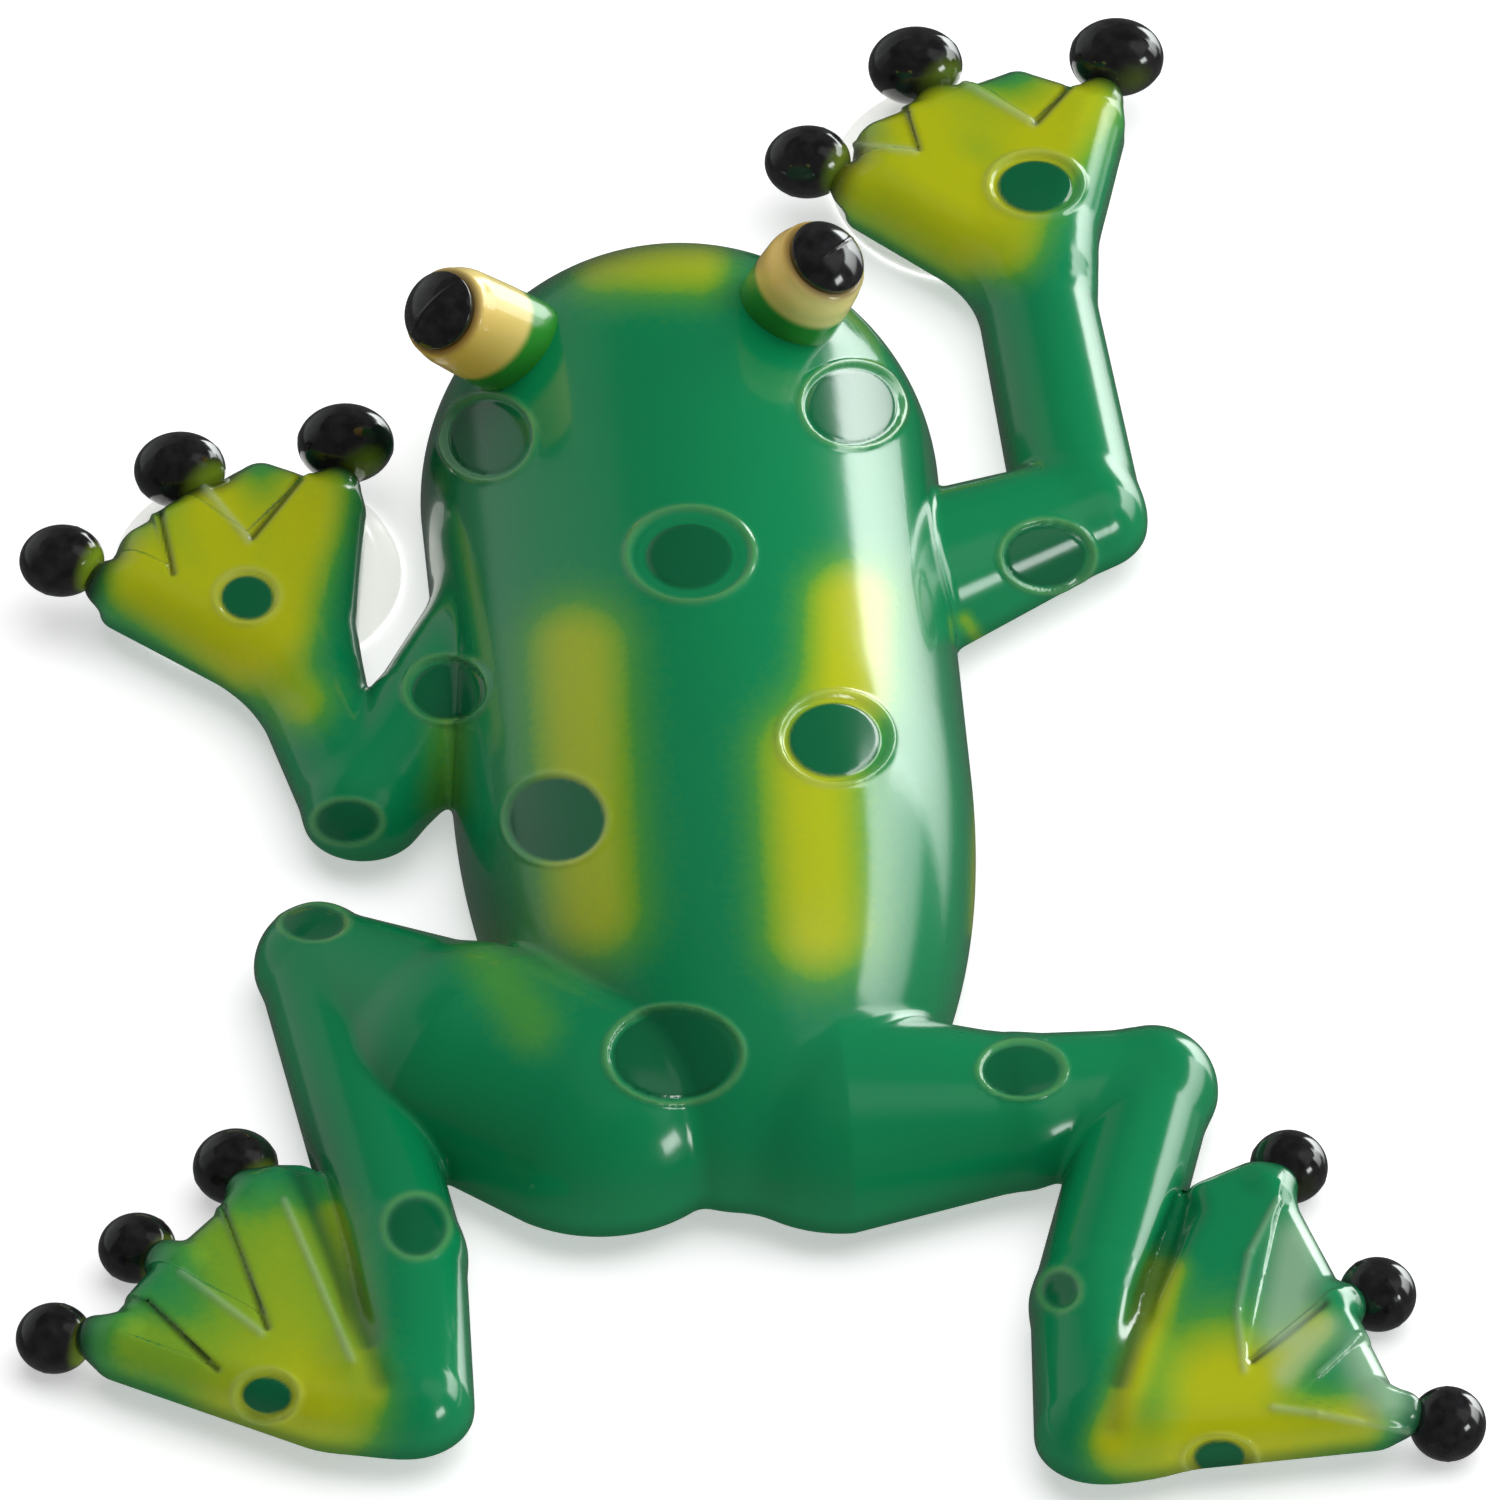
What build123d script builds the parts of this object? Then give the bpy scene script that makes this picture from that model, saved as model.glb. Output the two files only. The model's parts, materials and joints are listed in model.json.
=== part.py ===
"""Climbing frog with two suction cups: a hollow moulded figure that sticks to a window or a tiled wall.

The frog lies belly down on the XY plane, which is also the plane of the glass that it climbs. +Y is towards its
head and +Z is out of its back. Two moulded halves are screwed together: the domed front_shell and the flat
rear_cover behind it. Each hand hides a keyhole in the cover, and a clear suction cup hangs in it by a mushroom
head. The eyes are barrels that plug into the head and swivel by hand, and every toe ends in a ball on a peg.
All sizes are in millimetres.
"""

from build123d import *
from math import asin, cos, hypot, sin
import os

# Walls, fits and heights
WALL = 2.0  # thickness of the moulded front shell
Z_RIM = 5.0  # height of the shell's rear edge above the glass
COVER_THICK = 2.0
Z_AXIS = Z_RIM + COVER_THICK / 2  # height of the body's and the limbs' axes
Z_COVER_TOP = Z_RIM + COVER_THICK
COVER_GAP = 0.15  # all round the cover, inside the shell
TURN_GAP = 0.05  # radial, where a piece turns in a hole
FACE_GAP = 0.2  # between faces that slide past each other

# Body: a solid of revolution about a line in the plane of the limbs, with a ball at the nose
BODY_TAIL = (1.2, -87.5)
BODY_NOSE = (-12.2, 85.5)
TAIL_CAP = 78.0  # length of the rounded end at the tail
TAIL_R = 35.8
NOSE_R = 35.9

# Limbs: chains of (x, y, radius) along each limb's axis
LEFT_ARM = [(-33.0, 20.5, 14.0), (-44.0, 4.5, 9.6), (-53.0, -11.2, 8.0)]
LEFT_FOREARM = [(-53.0, -11.2, 7.8), (-61.8, 15.7, 7.4)]
RIGHT_ARM = [(24.0, 33.5, 12.0), (46.0, 46.0, 9.0)]
RIGHT_FOREARM = [(46.0, 46.0, 8.8), (39.2, 94.7, 8.2)]
LEFT_THIGH = [(-20.4, -72.3, 19.8), (-37.5, -62.0, 18.5), (-59.0, -41.0, 8.6)]
LEFT_SHIN = [(-59.0, -41.0, 8.4), (-47.2, -97.5, 8.6), (-46.6, -125.5, 9.3)]
RIGHT_THIGH = [(12.7, -73.5, 18.0), (36.0, -71.0, 12.3), (55.4, -65.0, 8.6)]
RIGHT_SHIN = [(55.4, -65.0, 8.4), (47.2, -106.5, 8.6), (48.0, -130.5, 9.0)]
CAPSULE_STEP = 0.12  # between the radii of a limb's successive capsules, so that no two balls coincide

# Hands and feet: a flat fan from a root to three toes, each ending in a ball (x, y, z, radius), with webs between
PALM_HEIGHT = 9.6  # above the rear edge
SOLE_HEIGHT = 8.4
HAND_BALL_Z = 10.5
FAN_FILLET = 4.0
FAN_CORNER_RS = (4.6, 5.6, 4.6)  # of the fan's corner behind each ball
TOE_GAP = 0.5  # between a fan's corner and the ball, in plan
BALL_GAP = 0.3  # between a ball and the edge of the hand or foot beside it
TOE_ROOT_R = 4.0  # of the toe inside the fan's corner
TOE_R = 3.3  # of the toe where it meets the ball
TOE_SINK = 0.8  # of the toe's end into the ball
PEG_R = 1.4
PEG_REACH = 3.4  # from the toe's end into the ball
FANS = {
    "left_hand": {
        "root": (-61.8, 15.7, 7.2),
        "webs": [(-82.0, 36.5, 4.4), (-67.0, 47.5, 4.6)],
        "height": PALM_HEIGHT,
        "balls": [(-94.8, 33.7, HAND_BALL_Z, 6.0), (-78.6, 51.5, HAND_BALL_Z, 6.4), (-55.7, 56.7, HAND_BALL_Z, 6.7)],
    },
    "right_hand": {
        "root": (39.2, 94.7, 8.0),
        "webs": [(19.8, 116.5, 4.4), (37.5, 124.5, 4.6)],
        "height": PALM_HEIGHT,
        "balls": [(8.3, 112.3, HAND_BALL_Z, 6.1), (23.3, 131.4, HAND_BALL_Z, 6.6), (51.3, 133.1, HAND_BALL_Z, 6.6)],
    },
    "left_foot": {
        "root": (-48.0, -125.5, 8.6),
        "webs": [],
        "height": SOLE_HEIGHT,
        "balls": [(-70.2, -79.5, 5.9, 5.9), (-83.6, -94.6, 5.4, 5.4), (-94.8, -111.9, 5.4, 5.4)],
    },
    "right_foot": {
        "root": (49.5, -130.0, 8.6),
        "webs": [],
        "height": SOLE_HEIGHT,
        "balls": [(74.1, -79.0, 5.4, 5.4), (86.1, -103.5, 5.4, 5.4), (95.5, -128.3, 5.4, 5.4)],
    },
}

# Suction cups, hung in keyholes behind the hands
CUP_AXES = {"left": (-67.9, 41.5), "right": (31.5, 119.1)}
CUP_R = 20.0
CUP_CLEAR = 0.4  # between the top of the bell and the frog's rear edge
CUP_HEIGHT = Z_RIM - CUP_CLEAR  # from the glass to the top of the bell
CUP_TOP_R = 7.0
CUP_LIP = 0.9  # thickness and width of the sealing lip
CUP_WALL = 1.7  # at the middle of the bell
NECK_R = 3.2
HEAD_R = 4.6
HEAD_THICK = 2.0
KEY_TRAVEL = 9.0  # from the slot's end to the entry hole, towards the wrist

# Eyes: barrels set in pockets of the head
EYE_ALONG = 142.5  # from the tail, along the body's axis
EYE_ANGLES = {"left": 39.7, "right": 25.9}  # of the pocket, round the body's axis, from straight up
EYE_AXES = {"left": (-0.65, -0.26, 0.715), "right": (0.33, -0.23, 0.915)}
EYE_R = 7.6
EYE_END_R = 7.3  # of the barrel's ball end
EYE_REACHES = {"left": 11.0, "right": 8.5}  # from the head's surface to the centre of the ball end
EYE_SINK = 3.2  # of the barrel's foot below the head's surface
EYE_BOSS_THICK = 3.4
STEM_R = 3.0
WASHER_R = 6.0
WASHER_THICK = 1.2
PUPIL_AXES = {"left": (-0.55, -0.42, 0.72), "right": (0.45, -0.20, 0.87)}
PUPIL_R = 5.5
PUPIL_PROUD = 0.6  # of the pupil's dome over the barrel's ball end
PUPIL_DEPTH = 1.47  # from the dome's edge to the pupil's flat bottom

# Screws through the cover into bosses of the front shell
SCREWS = [(-11.0, 71.0), (-31.0, 20.0), (20.0, 24.0), (-27.0, -30.0), (22.0, -30.0), (0.0, -68.0)]
SCREW_R = 1.5
SCREW_LENGTH = 9.0
SCREW_HEAD_R = 2.8
SCREW_HEAD_THICK = 1.7
SLOT_WIDTH = 0.8
BOSS_R = 3.6
PAD_R = 4.8  # of the cover's pad round a screw
PAD_THICK = 3.8
SEAT_DEPTH = 2.2  # of the screw head's seat in the pad


def unit(start, end):
    """Length and direction from one (x, y) to another."""
    along_x, along_y = end[0] - start[0], end[1] - start[1]
    length = hypot(along_x, along_y)
    return length, (along_x / length, along_y / length)


def tapered_capsule(start, start_r, end, end_r):
    """Hull of two balls, turned about the line between their centres from a profile on the rear side."""
    axis = Vector(*end) - Vector(*start)
    length = axis.length
    lean = asin((start_r - end_r) / length)
    side = Plane(origin=start, x_dir=axis, z_dir=Vector(0, 0, 1).cross(axis))
    tangent_1 = (start_r * sin(lean), start_r * cos(lean))
    tangent_2 = (length + end_r * sin(lean), end_r * cos(lean))
    with BuildPart() as capsule:
        with BuildSketch(side):
            with BuildLine():
                RadiusArc((-start_r, 0), tangent_1, start_r)
                Line(tangent_1, tangent_2)
                RadiusArc(tangent_2, (length + end_r, 0), end_r)
                Line((length + end_r, 0), (-start_r, 0))
            make_face()
        revolve(axis=Axis(start, axis))
    return capsule.part


def limb(chain, inset):
    """Capsules along a chain of (x, y, radius), each radius less the inset and a little under the last one's."""
    pieces = []
    for index, ((x1, y1, r1), (x2, y2, r2)) in enumerate(zip(chain, chain[1:])):
        under = inset + index * CAPSULE_STEP
        pieces.append(tapered_capsule((x1, y1, Z_AXIS), r1 - under, (x2, y2, Z_AXIS), r2 - under))
    return pieces


def limb_plan(chain, inset):
    """Circles of a limb's plan, with the same radii as its capsules."""
    return [(x, y, r - inset - CAPSULE_STEP * (len(chain) - 2)) for x, y, r in chain]


body_length, body_along = unit(BODY_TAIL, BODY_NOSE)


def body_half(inset, plane):
    """Half outline of the body from tail to nose centre, closed along its axis; the plane's x axis is the body's."""
    tail_r, nose_r = TAIL_R - inset, NOSE_R - inset
    nose = body_length - NOSE_R
    with BuildSketch(plane) as half:
        with BuildLine():
            EllipticalCenterArc((TAIL_CAP, 0), TAIL_CAP - inset, tail_r, 90, arc_size=90)
            Polyline((TAIL_CAP, tail_r), (nose, nose_r), (nose, 0), (inset, 0))
        make_face()
    return half.sketch


def nose_centre(z):
    """Centre of the ball that ends the head."""
    reach = body_length - NOSE_R
    return BODY_TAIL[0] + reach * body_along[0], BODY_TAIL[1] + reach * body_along[1], z


def body(inset):
    """The frog's body, turned from a profile on the rear side, with a ball for its head."""
    origin = (*BODY_TAIL, Z_AXIS)
    along = (*body_along, 0)
    with BuildPart() as solid:
        add(body_half(inset, Plane(origin=origin, x_dir=along, z_dir=(-body_along[1], body_along[0], 0))))
        revolve(axis=Axis(origin, along))
        with Locations(Plane(origin=nose_centre(Z_AXIS), x_dir=(-body_along[0], -body_along[1], 0))):
            Sphere(NOSE_R - inset - CAPSULE_STEP)
    return solid.part


def fan_plan(fan, inset):
    """Circles whose hull is the plan of a hand or foot: the root, the corner behind each ball and the webs."""
    circles = [fan["root"]]
    for (x, y, _, ball_r), corner_r in zip(fan["balls"], FAN_CORNER_RS):
        _, back = unit((x, y), fan["root"])
        reach = ball_r + TOE_GAP + corner_r
        circles.append((x + reach * back[0], y + reach * back[1], corner_r))
    return [(x, y, r - inset) for x, y, r in circles + fan["webs"]]


def hull_sketch(circles, plane):
    """Hull of circles given as (x, y, radius)."""
    with BuildSketch(plane) as sketch:
        with BuildLine(mode=Mode.PRIVATE) as rounds:
            for x, y, r in circles:
                CenterArc((x, y), r, 0, 360)
        make_hull(rounds.edges())
    return sketch.sketch


def fan_solid(fan, inset):
    """A hand or foot with a rounded top edge."""
    with BuildPart() as solid:
        add(hull_sketch(fan_plan(fan, inset), Plane.XY.offset(Z_RIM - 1)))
        extrude(amount=fan["height"] - inset + 1)
        fillet(solid.faces().sort_by(Axis.Z)[-1].edges(), FAN_FILLET - inset)
    return solid.part


def toe(fan, index):
    """A toe from its corner of the fan to its ball, with the peg that the ball is pressed on."""
    x, y, z, ball_r = fan["balls"][index]
    corner_x, corner_y, corner_r = fan_plan(fan, 0.0)[index + 1]
    corner = Vector(corner_x, corner_y, Z_RIM + TOE_ROOT_R + 0.3)
    centre = Vector(x, y, z)
    direction = (centre - corner).normalized()
    inner = corner + direction * (corner_r - TOE_ROOT_R)
    outer = centre - direction * (ball_r - TOE_SINK + TOE_R)
    with BuildPart() as solid:
        add(tapered_capsule(inner, TOE_ROOT_R, outer, TOE_R))
        with BuildSketch(Plane(origin=outer, z_dir=direction)):
            Circle(PEG_R)
        extrude(amount=TOE_R + PEG_REACH)
    return solid.part


def eye_plane(side):
    """Plane of an eye's pocket: the origin is on the head's surface and the normal is the barrel's axis."""
    sign = -1 if side == "left" else 1
    along = Vector(*body_along, 0)
    across = Vector(0, 0, 1).rotate(Axis((0, 0, 0), along), sign * EYE_ANGLES[side])
    foot = Vector(*BODY_TAIL, Z_AXIS) + along * EYE_ALONG + across * NOSE_R
    return Plane(origin=foot, x_dir=along.cross(Vector(*EYE_AXES[side])), z_dir=Vector(*EYE_AXES[side]))


# Outer skin, hollow and cover outline
limbs = [LEFT_ARM, LEFT_FOREARM, RIGHT_ARM, RIGHT_FOREARM, LEFT_THIGH, LEFT_SHIN, RIGHT_THIGH, RIGHT_SHIN]
eye_planes = {side: eye_plane(side) for side in EYE_AXES}


def figure(inset):
    """All of the frog's solids, inset from the outer skin."""
    with BuildPart() as solid:
        add(body(inset))
        for chain in limbs:
            for piece in limb(chain, inset):
                add(piece)
        for fan in FANS.values():
            add(fan_solid(fan, inset))
    return solid.part


def figure_plan(inset, z):
    """Outline of the frog in the plane of its limbs, inset, as a sketch at height z."""
    with BuildSketch(Plane.XY.offset(z)) as plan:
        for chain in limbs:
            circles = limb_plan(chain, inset)
            for pair in zip(circles, circles[1:]):
                add(hull_sketch(pair, Plane.XY))
        for fan in FANS.values():
            add(hull_sketch(fan_plan(fan, inset), Plane.XY))
        for z_dir in ((0, 0, 1), (0, 0, -1)):
            add(body_half(inset, Plane(origin=(*BODY_TAIL, 0), x_dir=(*body_along, 0), z_dir=z_dir)))
        with Locations(nose_centre(0)[:2]):
            Circle(NOSE_R - inset - CAPSULE_STEP)
    return plan.sketch


toes = {name: [toe(fan, index) for index in range(3)] for name, fan in FANS.items()}
z_boss = Z_RIM + PAD_THICK

with BuildPart() as skin:
    add(figure(0.0))
    split(bisect_by=Plane.XY.offset(Z_RIM), keep=Keep.TOP)

# Bosses for the screws and the eyes, ending inside the shell's wall
with BuildPart() as bosses:
    with BuildSketch(Plane.XY.offset(z_boss)):
        with Locations(SCREWS):
            Circle(BOSS_R)
    extrude(amount=TAIL_R)
    for plane in eye_planes.values():
        with BuildSketch(plane.offset(-EYE_SINK + 1)):
            Circle(EYE_R + WALL)
        extrude(amount=-EYE_BOSS_THICK - 1)
    add(body(WALL / 2), mode=Mode.INTERSECT)

with BuildPart() as front_shell:
    add(skin.part)
    for fan in FANS.values():
        for x, y, z, ball_r in fan["balls"]:
            with Locations((x, y, z)):
                Sphere(ball_r + BALL_GAP, mode=Mode.SUBTRACT)
    for group in toes.values():
        for piece in group:
            add(piece)
    add(figure(WALL), mode=Mode.SUBTRACT)
    add(bosses.part)
    with BuildSketch(Plane.XY.offset(z_boss)):
        with Locations(SCREWS):
            Circle(SCREW_R)
    extrude(amount=SCREW_LENGTH, mode=Mode.SUBTRACT)
    for side, plane in eye_planes.items():
        with BuildSketch(plane.offset(-EYE_SINK)):
            Circle(EYE_R + FACE_GAP)
        extrude(amount=EYE_REACHES[side], mode=Mode.SUBTRACT)
        with BuildSketch(plane):
            Circle(STEM_R + TURN_GAP)
        extrude(amount=-(EYE_SINK + EYE_BOSS_THICK + 1), mode=Mode.SUBTRACT)
front_shell.part.label = "front_shell"

# Rear cover: a plate inside the shell's edge, with pads at the screws and a keyhole behind each hand
z_seat = Z_RIM + SEAT_DEPTH
with BuildPart() as rear_cover:
    add(figure_plan(WALL + COVER_GAP, Z_RIM))
    extrude(amount=COVER_THICK)
    with BuildSketch(Plane.XY.offset(Z_RIM)):
        with Locations(SCREWS):
            Circle(PAD_R)
    extrude(amount=PAD_THICK)
    for side, (x, y) in CUP_AXES.items():
        _, (ux, uy) = unit((x, y), FANS[f"{side}_hand"]["root"])
        entry = (x + KEY_TRAVEL * ux, y + KEY_TRAVEL * uy)
        add(hull_sketch([(x, y, NECK_R + TURN_GAP), (*entry, NECK_R + TURN_GAP)], Plane.XY.offset(Z_RIM)))
        extrude(amount=COVER_THICK, mode=Mode.SUBTRACT)
        with BuildSketch(Plane.XY.offset(Z_RIM)):
            with Locations(entry):
                Circle(HEAD_R + FACE_GAP)
        extrude(amount=COVER_THICK, mode=Mode.SUBTRACT)
    with BuildSketch(Plane.XY.offset(Z_RIM)):
        with Locations(SCREWS):
            Circle(SCREW_R + FACE_GAP)
    extrude(amount=PAD_THICK, mode=Mode.SUBTRACT)
    with BuildSketch(Plane.XY.offset(Z_RIM)):
        with Locations(SCREWS):
            Circle(SCREW_HEAD_R + FACE_GAP)
    extrude(amount=SEAT_DEPTH, mode=Mode.SUBTRACT)
rear_cover.part.label = "rear_cover"

# Self-tapping screws, heads down
z_head = z_seat - SCREW_HEAD_THICK
with BuildPart() as cover_screws:
    with BuildSketch(Plane.XY.offset(z_head)):
        with Locations(SCREWS):
            Circle(SCREW_HEAD_R)
    extrude(amount=SCREW_HEAD_THICK)
    with BuildSketch(Plane.XY.offset(z_seat)):
        with Locations(SCREWS):
            Circle(SCREW_R)
    extrude(amount=SCREW_LENGTH - SCREW_R)
    with BuildSketch(Plane.XY.offset(z_seat + SCREW_LENGTH - SCREW_R)):
        with Locations(SCREWS):
            Circle(SCREW_R)
    extrude(amount=SCREW_R, taper=30)
    with BuildSketch(Plane.XY.offset(z_head)):
        with Locations(SCREWS):
            Rectangle(2 * SCREW_R, SLOT_WIDTH)
            Rectangle(SLOT_WIDTH, 2 * SCREW_R)
    extrude(amount=SLOT_WIDTH, mode=Mode.SUBTRACT)
cover_screws.part.label = "cover_screws"


def suction_cup(x, y):
    """Bell, neck and mushroom head, turned about the cup's axis."""
    z_neck = Z_COVER_TOP + FACE_GAP
    bell_r = (CUP_R + CUP_TOP_R) / 2
    with BuildPart() as cup:
        with BuildSketch(Plane(origin=(x, y, 0), x_dir=(1, 0, 0), z_dir=(0, -1, 0))):
            with BuildLine():
                Polyline((CUP_R - 2 * CUP_LIP, 0), (CUP_R, 0), (CUP_R, CUP_LIP))
                ThreePointArc((CUP_R, CUP_LIP), (bell_r, 0.68 * CUP_HEIGHT), (CUP_TOP_R, CUP_HEIGHT))
                Line((CUP_TOP_R, CUP_HEIGHT), (NECK_R, CUP_HEIGHT))
                Polyline((NECK_R, CUP_HEIGHT), (NECK_R, z_neck), (HEAD_R, z_neck), (HEAD_R, z_neck + 0.8))
                Line((HEAD_R, z_neck + 0.8), (HEAD_R - 1.2, z_neck + HEAD_THICK))
                Polyline((HEAD_R - 1.2, z_neck + HEAD_THICK), (0, z_neck + HEAD_THICK), (0, CUP_HEIGHT - CUP_WALL))
                ThreePointArc((0, CUP_HEIGHT - CUP_WALL), (bell_r / 2, 1.0 * CUP_HEIGHT / 2), (CUP_R - 2 * CUP_LIP, 0))
            make_face()
        revolve(axis=Axis((x, y, 0), (0, 0, 1)))
    return cup.part


def turned_plane(origin, axis, x_dir):
    """Sketch plane whose y axis is the axis of a turned piece."""
    return Plane(origin=origin, x_dir=x_dir, z_dir=x_dir.cross(axis))


def pupil(plane, side):
    """A domed plug set in the ball end of an eye barrel."""
    centre = plane.origin + plane.z_dir * EYE_REACHES[side]
    axis = Vector(*PUPIL_AXES[side]).normalized()
    dome_r = EYE_END_R + PUPIL_PROUD
    edge = (dome_r**2 - PUPIL_R**2) ** 0.5
    seat = edge - PUPIL_DEPTH
    with BuildPart() as plug:
        with BuildSketch(turned_plane(centre, axis, axis.cross(Vector(1, 0, 0)).normalized())):
            with BuildLine():
                Polyline((0, dome_r), (0, seat), (PUPIL_R, seat), (PUPIL_R, edge))
                RadiusArc((PUPIL_R, edge), (0, dome_r), -dome_r)
            make_face()
        revolve(axis=Axis(centre, axis))
    return plug.part


def eye_barrel(plane, reach, plug):
    """Barrel with a ball end, a pocket for the pupil and a stem through the head's boss."""
    foot = FACE_GAP - EYE_SINK
    stem_end = -(EYE_SINK + EYE_BOSS_THICK + FACE_GAP + 2 * WASHER_THICK)
    tip = reach + EYE_END_R
    with BuildPart() as barrel:
        with BuildSketch(turned_plane(plane.origin, plane.z_dir, plane.x_dir)):
            with BuildLine():
                Polyline((0, tip), (0, stem_end), (STEM_R, stem_end), (STEM_R, foot), (EYE_R, foot))
                Line((EYE_R, foot), (EYE_END_R, reach))
                RadiusArc((EYE_END_R, reach), (0, tip), -EYE_END_R)
            make_face()
        revolve(axis=Axis(plane.origin, plane.z_dir))
        add(plug, mode=Mode.SUBTRACT)
    return barrel.part


def eye_washer(plane):
    """Push-on washer that holds the stem inside the head."""
    with BuildPart() as washer:
        with BuildSketch(plane.offset(-(EYE_SINK + EYE_BOSS_THICK + FACE_GAP))):
            Circle(WASHER_R)
            Circle(STEM_R, mode=Mode.SUBTRACT)
        extrude(amount=-WASHER_THICK)
    return washer.part


def toe_ball(fan, index):
    """Ball with a socket for the toe's end and its peg."""
    x, y, z, ball_r = fan["balls"][index]
    with BuildPart() as ball:
        with Locations((x, y, z)):
            Sphere(ball_r)
        add(toes_by_fan[id(fan)][index], mode=Mode.SUBTRACT)
    return ball.part


parts = {"front_shell": front_shell.part, "rear_cover": rear_cover.part, "cover_screws": cover_screws.part}
toes_by_fan = {id(FANS[name]): group for name, group in toes.items()}
for name, fan in FANS.items():
    for index in range(3):
        parts[f"{name}_ball_{index + 1}"] = toe_ball(fan, index)
for side, plane in eye_planes.items():
    parts[f"{side}_suction_cup"] = suction_cup(*CUP_AXES[side])
    parts[f"{side}_pupil"] = pupil(plane, side)
    parts[f"{side}_eye_barrel"] = eye_barrel(plane, EYE_REACHES[side], parts[f"{side}_pupil"])
    parts[f"{side}_eye_washer"] = eye_washer(plane)

os.makedirs("parts", exist_ok=True)
for name, piece in parts.items():
    piece.label = name
    export_step(piece, f"parts/{name}.step")
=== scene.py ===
"""Looks of the climbing frog: painted shell, eyes, toe balls and clear suction cups round the CAD part.

Lengths are in millimetres until a mesh is made, and MM turns them into metres. +Y is towards the frog's
head and +Z is out of its back.
"""

import json
import math

import bmesh
import bpy
import numpy as np
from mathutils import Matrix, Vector


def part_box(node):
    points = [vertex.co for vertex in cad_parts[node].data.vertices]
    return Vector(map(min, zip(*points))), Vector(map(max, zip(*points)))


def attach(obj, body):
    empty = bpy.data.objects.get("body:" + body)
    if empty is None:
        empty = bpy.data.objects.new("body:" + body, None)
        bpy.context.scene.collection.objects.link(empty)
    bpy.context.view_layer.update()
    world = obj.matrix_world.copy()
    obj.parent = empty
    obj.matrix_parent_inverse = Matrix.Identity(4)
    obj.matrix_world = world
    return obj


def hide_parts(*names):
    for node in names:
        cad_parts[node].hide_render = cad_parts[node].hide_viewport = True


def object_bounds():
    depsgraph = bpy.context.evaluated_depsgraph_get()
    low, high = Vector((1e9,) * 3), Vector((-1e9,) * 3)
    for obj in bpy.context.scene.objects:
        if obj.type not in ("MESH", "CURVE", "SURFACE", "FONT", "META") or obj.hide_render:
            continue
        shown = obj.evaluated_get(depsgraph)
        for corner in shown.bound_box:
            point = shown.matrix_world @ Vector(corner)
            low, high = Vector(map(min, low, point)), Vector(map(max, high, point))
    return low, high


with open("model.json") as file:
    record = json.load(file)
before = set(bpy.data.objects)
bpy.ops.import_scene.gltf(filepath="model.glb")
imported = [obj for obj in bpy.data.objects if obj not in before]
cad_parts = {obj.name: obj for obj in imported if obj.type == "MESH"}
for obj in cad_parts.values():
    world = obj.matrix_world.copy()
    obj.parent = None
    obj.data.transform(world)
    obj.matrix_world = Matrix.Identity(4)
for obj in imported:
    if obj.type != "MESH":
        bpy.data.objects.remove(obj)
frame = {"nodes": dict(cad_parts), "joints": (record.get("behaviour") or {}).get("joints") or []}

cad_low, cad_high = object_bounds()

MM = 0.001
RIM_Z = 5.0  # rear edge of the shell
AXIS_Z = 6.0  # plane of the body's and the limbs' axes
WALL = 2.0
RIM_RETURN = 3.4  # how far the wall is shown up inside the rear edge

# Body
BODY_TAIL = np.array([1.2, -87.5, AXIS_Z])
BODY_NOSE = np.array([-12.2, 85.5, AXIS_Z])
TAIL_CAP = 78.0
TAIL_R = 35.8
NOSE_R = 35.9

# Limbs: (x, y, radius) along each axis, and how softly the limb runs into the rest
LIMBS = [
    ([(-30.0, 22.5, 15.0), (-44.0, 4.5, 10.0), (-53.0, -11.2, 8.1)], 2.0),
    ([(-53.0, -11.2, 8.0), (-61.8, 15.7, 7.5)], 1.2),
    ([(22.0, 32.5, 13.0), (46.0, 46.0, 9.0)], 1.4),
    ([(46.0, 46.0, 8.9), (39.2, 94.7, 8.2)], 1.4),
    ([(-20.4, -72.3, 19.8), (-37.5, -62.0, 18.5), (-59.0, -41.0, 8.7)], 1.6),
    ([(-59.0, -41.0, 8.5), (-47.2, -97.5, 8.7), (-46.6, -125.5, 9.3)], 1.2),
    ([(12.7, -73.5, 18.0), (36.0, -71.0, 12.3), (55.4, -65.0, 8.7)], 2.0),
    ([(55.4, -65.0, 8.5), (47.2, -106.5, 8.6), (48.0, -130.5, 9.0)], 2.0),
]

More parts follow.
